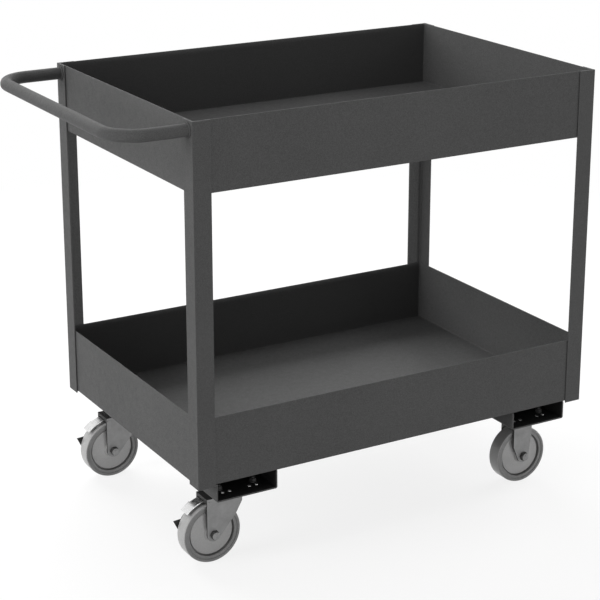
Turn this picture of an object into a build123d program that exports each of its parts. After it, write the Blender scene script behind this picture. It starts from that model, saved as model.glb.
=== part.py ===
"""Two-tray steel utility cart on two braked swivel casters and two rigid casters.

Millimetres. +Z is up, +X runs from the push handle to the nose, -Y is the right-hand side of
someone pushing the cart. The origin is on the floor, at the middle of the whole cart's plan box.
"""

import os
from math import cos, radians, sin

from build123d import *

# Trays and frame
tray_length = 914.0
tray_width = 610.0
lip_height = 140.0
sheet = 2.0
bend_inside = 2.0
corner_inside = 3.0
post_leg = 38.0
post_wall = 3.0
post_root = 4.0
post_toe = 2.2
post_corner = 0.8
post_length = 725.5
post_drop = 2.5

# Push handle, one bent tube
handle_diameter = 25.0
handle_wall = 2.0
handle_reach = 152.5
handle_bend = 64.0
handle_below_rim = 6.0

# Caster channels under the lower tray, with a universal hole pattern in each web
channel_width = 135.0
channel_depth = 38.0
channel_wall = 3.0
channel_corner = 4.0
channel_setback = 108.0
caster_inset = 73.0
wide_spacing = 76.2
narrow_spacing = 44.5
mount_hole = 9.0

# Caster fasteners
bolt_size = 8.0
bolt_head = 5.3
bolt_flats = 13.0
nut_height = 6.5
washer_thickness = 1.6
washer_diameter = 16.0
bolt_spare = 3.0
thread_clearance = 0.05

# Wheel
wheel_diameter = 125.0
tread_width = 32.0
tread_thickness = 6.2
tread_round = 2.5
rim_step = 1.5
rim_flange = 6.8
groove_width = 3.0
groove_depth = 4.5
disc_at_hub = 13.0
disc_at_rim = 10.5
hub_radius = 17.0
hub_step = 3.0
hub_clearance = 1.0
bush_wall = 3.5
sleeve_wall = 2.3
sleeve_clearance = 0.2
running_clearance = 0.05

# Axle
axle_size = 10.0
axle_flats = 17.0
axle_head = 6.4
axle_nut_hex = 7.0
axle_nut_collar = 3.0
collar_wall = 2.2
axle_spare = 1.5

# Caster plates, forks and swivel
plate_thickness = 4.0
plate_margin = 8.5
plate_corner = 6.0
leg_thickness = 3.5
leg_end_radius = 15.0
crown_thickness = 4.0
crown_radius = 33.0
crown_clearance = 11.0
race_gap = 10.0
ball_diameter = 6.0
ball_count = 16
ball_circle = 48.0
race_width = 10.0
race_lips_apart = 1.6
swivel_lead = 50.0
swivel_leg_front = 14.0
swivel_shoulder_drop = 18.0
swivel_waist_back = 15.0
swivel_waist_drop = 44.0
crease_back = 21.0
crease_cut = 1.6
rigid_leg_back = 26.0
rigid_leg_front = 21.0
rigid_back_drop = 62.0
rigid_front_drop = 32.0
kingpin_size = 12.0
kingpin_head = 20.0
kingpin_flats = 19.0
kingpin_nut_height = 8.0
kingpin_spare = 2.0
thrust_washer = 2.0
thrust_washer_wall = 7.0

# Brake pedal
brake_pin_size = 5.0
brake_pin_back = 10.0
brake_pin_up = 68.0
brake_pin_head = 8.0
brake_pin_head_height = 1.5
brake_barrel_wall = 1.6
brake_gap = 6.5
brake_sheet = 2.0
brake_strip_inset = 8.0
brake_end_angle = 137.0
brake_arm_gap = 1.3
brake_arm_sheet = 2.0
brake_arm_inset = 2.5
brake_arm_depth = 11.0
brake_arm_start = 118.0
brake_toe_angle = 158.0
brake_toe_length = 12.0
brake_toe_spread = 14.0
spring_sheet = 1.0
spring_width = 14.0
spring_length = 34.0

# Places worked out from the sizes above
tray_out_length = tray_length + 2 * sheet
tray_out_width = tray_width + 2 * sheet
body_length = tray_out_length + 2 * post_wall
body_width = tray_out_width + 2 * post_wall
body_x = handle_reach / 2
handle_end_x = body_x - body_length / 2
nose_x = body_x + body_length / 2

wheel_radius = wheel_diameter / 2
crown_bottom = wheel_diameter + crown_clearance
crown_top = crown_bottom + crown_thickness
plate_bottom = crown_top + race_gap
caster_height = plate_bottom + plate_thickness
lower_tray_z = caster_height + channel_depth
post_bottom = lower_tray_z - post_drop
rim_z = post_bottom + post_length
upper_tray_z = rim_z - lip_height

caster_y = body_width / 2 - caster_inset
channel_x = {"handle": handle_end_x + channel_setback, "nose": nose_x - channel_setback}
sides = {"left": 1, "right": -1}

hub_width = tread_width + 2 * hub_step
fork_gap = hub_width + 2 * hub_clearance
fork_width = fork_gap + 2 * leg_thickness
sleeve_inside = axle_size / 2 + sleeve_clearance
sleeve_outside = sleeve_inside + sleeve_wall
bush_inside = sleeve_outside + running_clearance
bush_outside = bush_inside + bush_wall
plate_length = wide_spacing + 2 * plate_margin
plate_width = narrow_spacing + 2 * plate_margin
brake_radius = wheel_radius + brake_gap


def level(at, z):
    """Horizontal plane at height z, with its origin over the caster's centre."""
    return Plane((at[0], at[1], z))


def upright(at, across=0.0):
    """Side-view plane of a caster: local x is X, local y is Z, and its normal is -Y."""
    return Plane((at[0], at[1] + across, 0), x_dir=(1, 0, 0), z_dir=(0, -1, 0))


def spin_plane(axle_x, at):
    """Plane through a wheel's axle: local x runs along the axle (+Y), local y is the radius."""
    return Plane((axle_x, at[1], wheel_radius), x_dir=(0, 1, 0), z_dir=(1, 0, 0))


def spin_axis(axle_x, at):
    return Axis((axle_x, at[1], wheel_radius), (0, 1, 0))


def save(piece, node):
    piece.part.label = node
    export_step(piece.part, f"parts/{node}.step")


os.makedirs("parts", exist_ok=True)


# Trays: folded sheet with a lip on all four sides
def tray(bottom_z):
    with BuildPart() as pan:
        with BuildSketch(Plane((body_x, 0, bottom_z))):
            RectangleRounded(tray_out_length, tray_out_width, corner_inside + sheet)
        extrude(amount=lip_height)
        fillet(pan.faces().sort_by(Axis.Z)[0].edges(), bend_inside + sheet)
        offset(amount=-sheet, openings=pan.faces().sort_by(Axis.Z)[-1])
    return pan


save(tray(upper_tray_z), "upper_tray")
save(tray(lower_tray_z), "lower_tray")


# Corner posts: rolled angle, with the trays' corners inside the angle
def corner_post(end, side):
    corner = (body_x + end * body_length / 2, side * body_width / 2, post_bottom)
    with BuildPart() as post:
        with BuildSketch(Plane(corner, x_dir=(-end, 0, 0), z_dir=(0, 0, end * side))) as angle:
            with BuildLine():
                Polyline(
                    (0, 0),
                    (post_leg, 0),
                    (post_leg, post_wall),
                    (post_wall, post_wall),
                    (post_wall, post_leg),
                    (0, post_leg),
                    close=True,
                )
            make_face()
            toes = [
                angle.vertices().sort_by_distance((post_leg, post_wall))[0],
                angle.vertices().sort_by_distance((post_wall, post_leg))[0],
            ]
            fillet(toes, post_toe)
            fillet(angle.vertices().sort_by_distance((post_wall, post_wall))[0], post_root)
            fillet(angle.vertices().sort_by_distance((0, 0))[0], post_corner)
        extrude(amount=post_length, dir=(0, 0, 1))
    return post


for end_name, end in {"handle": -1, "nose": 1}.items():
    for side_name, side in sides.items():
        save(corner_post(end, side), f"corner_post_{end_name}_{side_name}")

# Push handle: a tube bent into a U, butted against the two handle-end posts
handle_z = rim_z - handle_below_rim - handle_diameter / 2
handle_y = body_width / 2 - post_leg / 2
handle_bar_x = handle_end_x - handle_reach + handle_diameter / 2

with BuildPart() as push_handle:
    with BuildLine() as handle_route:
        FilletPolyline(
            (handle_end_x, -handle_y, handle_z),
            (handle_bar_x, -handle_y, handle_z),
            (handle_bar_x, handle_y, handle_z),
            (handle_end_x, handle_y, handle_z),
            radius=handle_bend,
        )
    with BuildSketch(Plane((handle_end_x, -handle_y, handle_z), x_dir=(0, 1, 0), z_dir=(-1, 0, 0))):
        Circle(handle_diameter / 2)
        Circle(handle_diameter / 2 - handle_wall, mode=Mode.SUBTRACT)
    sweep(path=handle_route.wires()[0])
save(push_handle, "push_handle")


# Caster channels: web down, legs up against the lower tray, ends open
def caster_channel(centre_x):
    inside = channel_width - 2 * channel_wall
    with BuildPart() as channel:
        with BuildSketch(upright((centre_x, 0)).offset(-tray_out_width / 2)) as outline:
            with Locations((0, caster_height)):
                Rectangle(channel_width, channel_depth, align=(Align.CENTER, Align.MIN))
            fillet(outline.vertices().group_by(Axis.Y)[0], channel_corner)
            with BuildSketch(mode=Mode.SUBTRACT) as hollow:
                with Locations((0, caster_height + channel_wall)):
                    Rectangle(inside, channel_depth, align=(Align.CENTER, Align.MIN))
                fillet(hollow.vertices().group_by(Axis.Y)[0], channel_corner - channel_wall)
        extrude(amount=tray_out_width)
        with BuildSketch(Plane((centre_x, 0, caster_height))):
            with Locations((0, caster_y), (0, -caster_y)):
                with GridLocations(wide_spacing, wide_spacing, 2, 2):
                    Circle(mount_hole / 2)
                with GridLocations(wide_spacing, narrow_spacing, 2, 2):
                    Circle(mount_hole / 2)
                with GridLocations(narrow_spacing, wide_spacing, 2, 2):
                    Circle(mount_hole / 2)
        extrude(amount=channel_wall, mode=Mode.SUBTRACT)
    return channel


for end_name, centre_x in channel_x.items():
    save(caster_channel(centre_x), f"caster_channel_{end_name}")

# Caster fasteners: heads under the caster plates, washers and nuts inside the channels
caster_centres = [(x, side * caster_y) for x in channel_x.values() for side in sides.values()]
web_top = caster_height + channel_wall
nut_bottom = web_top + washer_thickness
nut_top = nut_bottom + nut_height

with BuildPart() as caster_bolts:
    with BuildSketch(Plane.XY.offset(plate_bottom)):
        with Locations(*caster_centres):
            with GridLocations(wide_spacing, narrow_spacing, 2, 2):
                RegularPolygon(bolt_flats / 2, 6, major_radius=False)
    extrude(amount=-bolt_head)
    with BuildSketch(Plane.XY.offset(plate_bottom)):
        with Locations(*caster_centres):
            with GridLocations(wide_spacing, narrow_spacing, 2, 2):
                Circle(bolt_size / 2)
    extrude(amount=nut_top + bolt_spare - plate_bottom)
save(caster_bolts, "caster_bolts")

with BuildPart() as caster_washers:
    with BuildSketch(Plane.XY.offset(web_top)):
        with Locations(*caster_centres):
            with GridLocations(wide_spacing, narrow_spacing, 2, 2):
                Circle(washer_diameter / 2)
                Circle(bolt_size / 2 + thread_clearance, mode=Mode.SUBTRACT)
    extrude(amount=washer_thickness)
save(caster_washers, "caster_washers")

with BuildPart() as caster_nuts:
    with BuildSketch(Plane.XY.offset(nut_bottom)):
        with Locations(*caster_centres):
            with GridLocations(wide_spacing, narrow_spacing, 2, 2):
                RegularPolygon(bolt_flats / 2, 6, major_radius=False)
                Circle(bolt_size / 2 + thread_clearance, mode=Mode.SUBTRACT)
    extrude(amount=nut_height)
save(caster_nuts, "caster_nuts")


# Wheel: a moulded core with a bonded tread, turning on a bush
def wheel_core(axle_x, at):
    rim_radius = wheel_radius - tread_thickness
    groove_top = rim_radius - rim_flange
    groove_bottom = groove_top - groove_width
    rim_half = tread_width / 2 - rim_step
    with BuildPart() as core:
        with BuildSketch(spin_plane(axle_x, at)) as half:
            with BuildLine():
                Polyline(
                    (0, bush_outside),
                    (hub_width / 2, bush_outside),
                    (hub_width / 2, hub_radius),
                    (disc_at_hub, hub_radius),
                    (disc_at_rim, groove_bottom),
                    (disc_at_rim - groove_depth, groove_bottom),
                    (disc_at_rim - groove_depth, groove_top),
                    (rim_half, groove_top),
                    (rim_half, rim_radius),
                    (0, rim_radius),
                    close=True,
                )
            make_face()
            mirror(about=Plane.YZ)
        revolve(axis=spin_axis(axle_x, at))
    return core


def wheel_tread(axle_x, at):
    with BuildPart() as tread:
        with BuildSketch(spin_plane(axle_x, at)) as band:
            with Locations((0, wheel_radius - tread_thickness)):
                Rectangle(tread_width, tread_thickness, align=(Align.CENTER, Align.MIN))
            fillet(band.vertices().group_by(Axis.Y)[-1], tread_round)
        revolve(axis=spin_axis(axle_x, at))
    return tread


def wheel_bush(axle_x, at):
    with BuildPart() as bush:
        with BuildSketch(upright((axle_x, at[1]))):
            with Locations((0, wheel_radius)):
                Circle(bush_outside)
                Circle(bush_inside, mode=Mode.SUBTRACT)
        extrude(amount=hub_width / 2, both=True)
    return bush


# Axle: bolt head on the +Y side, lock nut on the -Y side, sleeve clamped between the legs
def axle_bolt(axle_x, at):
    shank = fork_width + axle_nut_hex + axle_nut_collar + axle_spare
    with BuildPart() as bolt:
        with BuildSketch(upright((axle_x, at[1]), fork_width / 2)):
            with Locations((0, wheel_radius)):
                RegularPolygon(axle_flats / 2, 6, major_radius=False)
        extrude(amount=-axle_head)
        with BuildSketch(upright((axle_x, at[1]), fork_width / 2)):
            with Locations((0, wheel_radius)):
                Circle(axle_size / 2)
        extrude(amount=shank)
    return bolt


def axle_nut(axle_x, at):
    bore = axle_size / 2 + thread_clearance
    with BuildPart() as nut:
        with BuildSketch(upright((axle_x, at[1]), -fork_width / 2)):
            with Locations((0, wheel_radius)):
                RegularPolygon(axle_flats / 2, 6, major_radius=False)
                Circle(bore, mode=Mode.SUBTRACT)
        extrude(amount=axle_nut_hex)
        with BuildSketch(upright((axle_x, at[1]), -fork_width / 2 - axle_nut_hex)):
            with Locations((0, wheel_radius)):
                Circle(axle_size / 2 + collar_wall)
                Circle(bore, mode=Mode.SUBTRACT)
        extrude(amount=axle_nut_collar)
    return nut


def axle_sleeve(axle_x, at):
    with BuildPart() as sleeve:
        with BuildSketch(upright((axle_x, at[1]))):
            with Locations((0, wheel_radius)):
                Circle(sleeve_outside)
                Circle(sleeve_inside, mode=Mode.SUBTRACT)
        extrude(amount=fork_gap / 2, both=True)
    return sleeve


# Rigid fork: two legs under a fixed plate, in one pressing
def rigid_fork(at):
    with BuildPart() as fork:
        with BuildSketch(level(at, plate_bottom)):
            RectangleRounded(plate_length, plate_width, plate_corner)
        extrude(amount=plate_thickness)
        with BuildSketch(upright(at, fork_width / 2)):
            with BuildLine():
                CenterArc((0, wheel_radius), leg_end_radius, 0, 360)
                Polyline(
                    (-rigid_leg_back, plate_bottom - rigid_back_drop),
                    (-rigid_leg_back, plate_bottom),
                    (rigid_leg_front, plate_bottom),
                    (rigid_leg_front, plate_bottom - rigid_front_drop),
                )
            make_hull()
        extrude(amount=fork_width)
        with BuildSketch(upright(at, fork_gap / 2)):
            with Locations((0, plate_bottom)):
                Rectangle(plate_length, 2 * plate_bottom, align=(Align.CENTER, Align.MAX))
        extrude(amount=fork_gap, mode=Mode.SUBTRACT)
        with BuildSketch(upright(at, fork_width / 2)):
            with Locations((0, wheel_radius)):
                Circle(axle_size / 2 + thread_clearance)
        extrude(amount=fork_width, mode=Mode.SUBTRACT)
        with BuildSketch(level(at, plate_bottom)):
            with GridLocations(wide_spacing, narrow_spacing, 2, 2):
                Circle(mount_hole / 2)
        extrude(amount=plate_thickness, mode=Mode.SUBTRACT)
    return fork


# Swivel: two ball races held together by a kingpin
ball_z = plate_bottom - race_gap / 2


def race_groove(at):
    """Ring that the balls run in, cut from both races with the running clearance."""
    with BuildSketch(Plane((at[0], at[1], ball_z), x_dir=(1, 0, 0), z_dir=(0, -1, 0))) as ring:
        with Locations((ball_circle / 2, 0)):
            Circle(ball_diameter / 2 + running_clearance)
    return ring.sketch


def kingpin_outline(clearance):
    """Half profile of the countersunk kingpin: local x is the radius, local y is Z."""
    shank = kingpin_size / 2 + clearance
    head = kingpin_head / 2 + clearance
    foot = crown_bottom - thrust_washer - kingpin_nut_height - kingpin_spare
    return [
        (0, foot),
        (shank, foot),
        (shank, plate_bottom),
        (head, caster_height),
        (0, caster_height),
    ]


def swivel_plate(at):
    ring = race_gap / 2 - race_lips_apart / 2
    with BuildPart() as plate:
        with BuildSketch(level(at, plate_bottom)):
            RectangleRounded(plate_length, plate_width, plate_corner)
        extrude(amount=plate_thickness)
        with BuildSketch(level(at, plate_bottom)):
            Circle((ball_circle + race_width) / 2)
            Circle((ball_circle - race_width) / 2, mode=Mode.SUBTRACT)
        extrude(amount=-ring)
        revolve(race_groove(at), axis=Axis((at[0], at[1], 0), (0, 0, 1)), mode=Mode.SUBTRACT)
        with BuildSketch(upright(at)):
            with BuildLine():
                Polyline(*kingpin_outline(running_clearance), close=True)
            make_face()
        revolve(axis=Axis((at[0], at[1], 0), (0, 0, 1)), mode=Mode.SUBTRACT)
        with BuildSketch(level(at, plate_bottom)):
            with GridLocations(wide_spacing, narrow_spacing, 2, 2):
                Circle(mount_hole / 2)
        extrude(amount=plate_thickness, mode=Mode.SUBTRACT)
    return plate


def kingpin(at):
    with BuildPart() as pin:
        with BuildSketch(upright(at)):
            with BuildLine():
                Polyline(*kingpin_outline(0), close=True)
            make_face()
        revolve(axis=Axis((at[0], at[1], 0), (0, 0, 1)))
    return pin


def kingpin_nut(at):
    with BuildPart() as nut:
        with BuildSketch(level(at, crown_bottom - thrust_washer)):
            RegularPolygon(kingpin_flats / 2, 6, major_radius=False)
            Circle(kingpin_size / 2 + thread_clearance, mode=Mode.SUBTRACT)
        extrude(amount=-kingpin_nut_height)
    return nut


def swivel_washer(at):
    with BuildPart() as washer:
        with BuildSketch(level(at, crown_bottom)):
            Circle(kingpin_size / 2 + running_clearance + thrust_washer_wall)
            Circle(kingpin_size / 2 + running_clearance, mode=Mode.SUBTRACT)
        extrude(amount=-thrust_washer)
    return washer


def swivel_balls(at):
    with BuildPart() as balls:
        with Locations(level(at, ball_z)):
            with PolarLocations(ball_circle / 2, ball_count):
                Sphere(ball_diameter / 2)
    return balls


# Swivel fork: crown and legs in one pressing, the axle trailing behind the kingpin
def swivel_fork(at):
    ring = race_gap / 2 - race_lips_apart / 2
    leg_back = swivel_lead + leg_end_radius
    with BuildPart() as fork:
        with BuildSketch(level(at, crown_bottom)):
            Circle(crown_radius)
        extrude(amount=crown_thickness)
        with BuildSketch(upright(at, fork_width / 2)):
            with BuildLine():
                CenterArc((-swivel_lead, wheel_radius), leg_end_radius, 0, 360)
                Polyline(
                    (-leg_back, crown_top),
                    (swivel_leg_front, crown_top),
                    (swivel_leg_front, crown_top - swivel_shoulder_drop),
                    (swivel_leg_front - swivel_waist_back, crown_top - swivel_waist_drop),
                )
            make_hull()
        extrude(amount=fork_width)
        with BuildSketch(upright(at, fork_gap / 2)):
            with Locations((0, crown_bottom)):
                Rectangle(4 * leg_back, 2 * crown_bottom, align=(Align.CENTER, Align.MAX))
        extrude(amount=fork_gap, mode=Mode.SUBTRACT)
        for turn in sides.values():
            with BuildSketch(level(at, 0)):
                with BuildLine():
                    Polyline(
                        (-crease_back, turn * fork_width / 2),
                        (crown_radius, turn * (fork_width / 2 - crease_cut)),
                        (crown_radius, turn * (fork_width / 2 + crease_cut)),
                        (-crease_back, turn * (fork_width / 2 + crease_cut)),
                        close=True,
                    )
                make_face()
            extrude(amount=crown_bottom, mode=Mode.SUBTRACT)
        with BuildSketch(level(at, crown_top)):
            Circle((ball_circle + race_width) / 2)
            Circle((ball_circle - race_width) / 2, mode=Mode.SUBTRACT)
        extrude(amount=ring)
        revolve(race_groove(at), axis=Axis((at[0], at[1], 0), (0, 0, 1)), mode=Mode.SUBTRACT)
        with BuildSketch(level(at, crown_bottom)):
            Circle(kingpin_size / 2 + running_clearance)
        extrude(amount=crown_thickness, mode=Mode.SUBTRACT)
        with BuildSketch(upright(at, fork_width / 2)):
            with Locations((-swivel_lead, wheel_radius)):
                Circle(axle_size / 2 + thread_clearance)
            with Locations(brake_pin_place):
                Circle(brake_pin_size / 2 + thread_clearance)
        extrude(amount=fork_width, mode=Mode.SUBTRACT)
    return fork


# Brake: a pedal on a pin through the fork, curved over the tread, with a toe tab beside the wheel
brake_pin_place = (-swivel_lead - brake_pin_back, wheel_radius + brake_pin_up)
brake_start_angle = 90.0 + brake_pin_back / (brake_pin_up * radians(1))


def on_wheel(radius, angle):
    """Point of the side view at a radius and angle about the swivel wheel's axle."""
    return (
        -swivel_lead + radius * cos(radians(angle)),
        wheel_radius + radius * sin(radians(angle)),
    )


def arc_band(inner, outer, start, end):
    """Outline of a flat band between two radii about the swivel wheel's axle."""
    centre = (-swivel_lead, wheel_radius)
    with BuildLine() as outline:
        CenterArc(centre, outer, start, end - start)
        Line(on_wheel(outer, end), on_wheel(inner, end))
        CenterArc(centre, inner, start, end - start)
        Line(on_wheel(inner, start), on_wheel(outer, start))
    return outline.edges()


def brake_pedal(at):
    shoe = brake_radius + brake_sheet
    arm_inner = tread_width / 2 + brake_arm_gap
    arm_outer = arm_inner + brake_arm_sheet
    barrel = brake_pin_size / 2 + running_clearance + brake_barrel_wall
    arm_high = wheel_radius - brake_arm_inset
    arm_low = arm_high - brake_arm_depth
    toe_root = brake_toe_angle - brake_toe_spread / 2
    toe_foot = brake_toe_angle + brake_toe_spread
    with BuildPart() as pedal:
        with BuildSketch(upright(at, tread_width / 2)):
            make_face(arc_band(brake_radius, shoe, brake_start_angle, brake_end_angle))
        extrude(amount=tread_width - brake_strip_inset)
        with BuildSketch(upright(at)):
            with Locations(brake_pin_place):
                Circle(barrel)
        extrude(amount=tread_width / 2, both=True)
        with BuildSketch(upright(at, arm_outer)):
            make_face(arc_band(brake_radius, shoe, brake_arm_start, brake_end_angle))
        extrude(amount=arm_outer)
        with BuildSketch(upright(at, arm_outer)):
            make_face(arc_band(arm_low, shoe, brake_arm_start, brake_end_angle))
            make_face(arc_band(arm_low, arm_high, brake_arm_start, brake_toe_angle))
            with BuildLine():
                Polyline(
                    on_wheel(arm_low, toe_root),
                    on_wheel(arm_high, toe_root),
                    on_wheel(wheel_radius + brake_toe_length, brake_toe_angle),
                    on_wheel(arm_high, toe_foot),
                    on_wheel(arm_low, brake_toe_angle),
                    close=True,
                )
            make_face()
        extrude(amount=brake_arm_sheet)
        with BuildSketch(upright(at, fork_width)):
            with Locations(brake_pin_place):
                Circle(brake_pin_size / 2 + running_clearance)
        extrude(amount=2 * fork_width, mode=Mode.SUBTRACT)
    return pedal


def brake_pin(at):
    with BuildPart() as pin:
        with BuildSketch(upright(at)):
            with Locations(brake_pin_place):
                Circle(brake_pin_size / 2)
        extrude(amount=fork_width / 2, both=True)
        for turn in sides.values():
            with BuildSketch(upright(at, turn * fork_width / 2)):
                with Locations(brake_pin_place):
                    Circle(brake_pin_head / 2)
            extrude(amount=-turn * brake_pin_head_height)
    return pin


def brake_spring(at):
    with BuildPart() as leaf:
        with BuildSketch(level(at, crown_bottom)):
            with Locations((-swivel_lead - leg_end_radius, 0)):
                Rectangle(spring_length, spring_width, align=(Align.MIN, Align.CENTER))
        extrude(amount=-spring_sheet)
    return leaf


# Rigid casters at the nose, swivel casters with brakes at the handle
def wheel_set(end_name, side_name, axle_x, at):
    place = f"{end_name}_{side_name}"
    save(wheel_core(axle_x, at), f"wheel_core_{place}")
    save(wheel_tread(axle_x, at), f"wheel_tread_{place}")
    save(wheel_bush(axle_x, at), f"wheel_bush_{place}")
    save(axle_bolt(axle_x, at), f"axle_bolt_{place}")
    save(axle_nut(axle_x, at), f"axle_nut_{place}")
    save(axle_sleeve(axle_x, at), f"axle_sleeve_{place}")


for side_name, side in sides.items():
    nose = (channel_x["nose"], side * caster_y)
    wheel_set("nose", side_name, nose[0], nose)
    save(rigid_fork(nose), f"rigid_fork_{side_name}")

    handle = (channel_x["handle"], side * caster_y)
    wheel_set("handle", side_name, handle[0] - swivel_lead, handle)
    save(swivel_plate(handle), f"swivel_plate_{side_name}")
    save(kingpin(handle), f"kingpin_{side_name}")
    save(kingpin_nut(handle), f"kingpin_nut_{side_name}")
    save(swivel_washer(handle), f"swivel_washer_{side_name}")
    save(swivel_balls(handle), f"swivel_balls_{side_name}")
    save(swivel_fork(handle), f"swivel_fork_{side_name}")
    save(brake_pedal(handle), f"brake_pedal_{side_name}")
    save(brake_pin(handle), f"brake_pin_{side_name}")
    save(brake_spring(handle), f"brake_spring_{side_name}")
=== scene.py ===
import math

import bmesh
import bpy
from mathutils import Matrix, Vector


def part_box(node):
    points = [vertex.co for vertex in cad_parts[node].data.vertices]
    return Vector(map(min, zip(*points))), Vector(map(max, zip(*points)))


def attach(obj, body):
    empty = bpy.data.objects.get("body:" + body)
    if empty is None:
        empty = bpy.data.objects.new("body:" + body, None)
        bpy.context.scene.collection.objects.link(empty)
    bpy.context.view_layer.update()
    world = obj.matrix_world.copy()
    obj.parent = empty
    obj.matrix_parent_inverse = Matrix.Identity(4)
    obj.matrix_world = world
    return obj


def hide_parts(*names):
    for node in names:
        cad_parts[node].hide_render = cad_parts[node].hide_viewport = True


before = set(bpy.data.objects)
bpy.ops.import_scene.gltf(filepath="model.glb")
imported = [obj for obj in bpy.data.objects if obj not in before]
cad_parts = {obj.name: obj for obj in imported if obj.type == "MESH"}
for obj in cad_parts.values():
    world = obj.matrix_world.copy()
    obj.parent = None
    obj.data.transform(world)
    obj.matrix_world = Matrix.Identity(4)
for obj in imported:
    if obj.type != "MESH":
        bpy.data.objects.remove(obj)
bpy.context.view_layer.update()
scene = bpy.context.scene
scene.view_settings.view_transform = "Standard"

# Lengths are in metres. The handle is at -X, the nose at +X, left at +Y and up is +Z.

SIDES = ("left", "right")
ENDS = ("handle", "nose")
CASTERS = [(end, side) for end in ENDS for side in SIDES]
TRAYS = ("upper_tray", "lower_tray")


# Finishes

NOISE_SPAN = (0.3, 0.7)
EDGE_SPAN = (0.995, 0.86)


class Finish:
    """One procedural finish: a Principled shader with patterns that follow the object."""

    def __init__(self, name, roughness, metallic=0.0, specular=0.5):
        self.material = bpy.data.materials.new(name)
        self.material.use_nodes = True
        self.nodes = self.material.node_tree.nodes
        self.links = self.material.node_tree.links
        self.shader = self.nodes["Principled BSDF"]
        self.shader.inputs["Roughness"].default_value = roughness
        self.shader.inputs["Metallic"].default_value = metallic
        self.shader.inputs["Specular IOR Level"].default_value = specular
        self.place = self.nodes.new("ShaderNodeTexCoord").outputs["Object"]

    def stretched(self, scale):
        node = self.nodes.new("ShaderNodeMapping")
        node.inputs["Scale"].default_value = scale
        self.links.new(self.place, node.inputs["Vector"])
        return node.outputs["Vector"]

    def noise(self, scale, detail=2.0, roughness=0.5, along=None):
        node = self.nodes.new("ShaderNodeTexNoise")
        node.inputs["Scale"].default_value = scale
        node.inputs["Detail"].default_value = detail
        node.inputs["Roughness"].default_value = roughness
        self.links.new(along or self.place, node.inputs["Vector"])
        return node.outputs["Fac"]

    def between(self, value, span, out):
        """Carries a value from one span of numbers to another and stops at its ends."""
        node = self.nodes.new("ShaderNodeMapRange")
        for label, number in zip(("From Min", "From Max", "To Min", "To Max"), (*span, *out)):
            node.inputs[label].default_value = number
        self.links.new(value, node.inputs["Value"])
        return node.outputs["Result"]

    def sum(self, first, second, share):
        node = self.nodes.new("ShaderNodeMath")
        node.operation = "MULTIPLY_ADD"
        node.inputs[1].default_value = share
        self.links.new(second, node.inputs[0])
        self.links.new(first, node.inputs[2])
        return node.outputs["Value"]

    def product(self, first, second):
        node = self.nodes.new("ShaderNodeMath")
        node.operation = "MULTIPLY"
        self.links.new(first, node.inputs[0])
        self.links.new(second, node.inputs[1])
        return node.outputs["Value"]

    def ramp(self, value, *stops):
        node = self.nodes.new("ShaderNodeValToRGB")
        steps = node.color_ramp.elements
        while len(steps) < len(stops):
            steps.new(1.0)
        for step, (where, colour) in zip(steps, stops):
            step.position = where
            step.color = (*colour, 1.0)
        self.links.new(value, node.inputs["Fac"])
        return node.outputs["Color"]

    def over(self, share, under, top):
        node = self.nodes.new("ShaderNodeMix")
        node.data_type = "RGBA"
        self.links.new(share, node.inputs["Factor"])
        self.links.new(under, node.inputs["A"])
        node.inputs["B"].default_value = (*top, 1.0)
        return node.outputs["Result"]

    def edges(self, radius):
        """1 on outside and inside edges, 0 on flat faces."""
        soft = self.nodes.new("ShaderNodeBevel")
        soft.samples = 6
        soft.inputs["Radius"].default_value = radius
        flat = self.nodes.new("ShaderNodeNewGeometry")
        dot = self.nodes.new("ShaderNodeVectorMath")
        dot.operation = "DOT_PRODUCT"
        self.links.new(soft.outputs["Normal"], dot.inputs[0])
        self.links.new(flat.outputs["Normal"], dot.inputs[1])
        return self.between(dot.outputs["Value"], EDGE_SPAN, (0.0, 1.0))

    def colour(self, socket):
        self.links.new(socket, self.shader.inputs["Base Color"])

    def gloss(self, socket):
        self.links.new(socket, self.shader.inputs["Roughness"])

    def relief(self, height, strength, distance):
        node = self.nodes.new("ShaderNodeBump")
        node.inputs["Strength"].default_value = strength
        node.inputs["Distance"].default_value = distance
        self.links.new(height, node.inputs["Height"])
        self.links.new(node.outputs["Normal"], self.shader.inputs["Normal"])


def grey(level, warm=0.0):
    """A grey of one brightness, a little warm where asked."""
    return (level * (1 + warm), level, level * (1 - warm))


def powder_coat(name, level):
    """Dark satin powder coat: a fine sandy grain, faint clouding, and edges a little paler, partly as wear
    and partly as a painted highlight.
    """
    coat = Finish(name, roughness=0.55, specular=0.1)
    grain = coat.noise(scale=620.0, detail=3.0, roughness=0.65)
    cloud = coat.noise(scale=3.5, detail=3.0, roughness=0.55)
    mixed = coat.sum(coat.between(grain, NOISE_SPAN, (0.0, 0.75)), cloud, share=0.3)
    shade = coat.ramp(mixed, (0.1, grey(level * 0.66)), (0.5, grey(level)), (0.95, grey(level * 1.36)))
    patches = coat.between(coat.noise(scale=45.0, detail=4.0), (0.3, 0.75), (0.05, 0.35))
    # Edges painted paler in patches: partly wear, partly painted highlight.
    worn_and_highlit_edges = coat.product(coat.edges(radius=0.0022), patches)
    coat.colour(coat.over(worn_and_highlit_edges, shade, grey(level * 1.8)))
    coat.gloss(coat.between(coat.noise(scale=90.0, detail=3.0), NOISE_SPAN, (0.5, 0.64)))
    sag = coat.noise(scale=1.6, detail=1.0, roughness=0.4)
    coat.relief(coat.sum(grain, sag, share=6.0), strength=0.35, distance=0.0005)
    return coat.material


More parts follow.
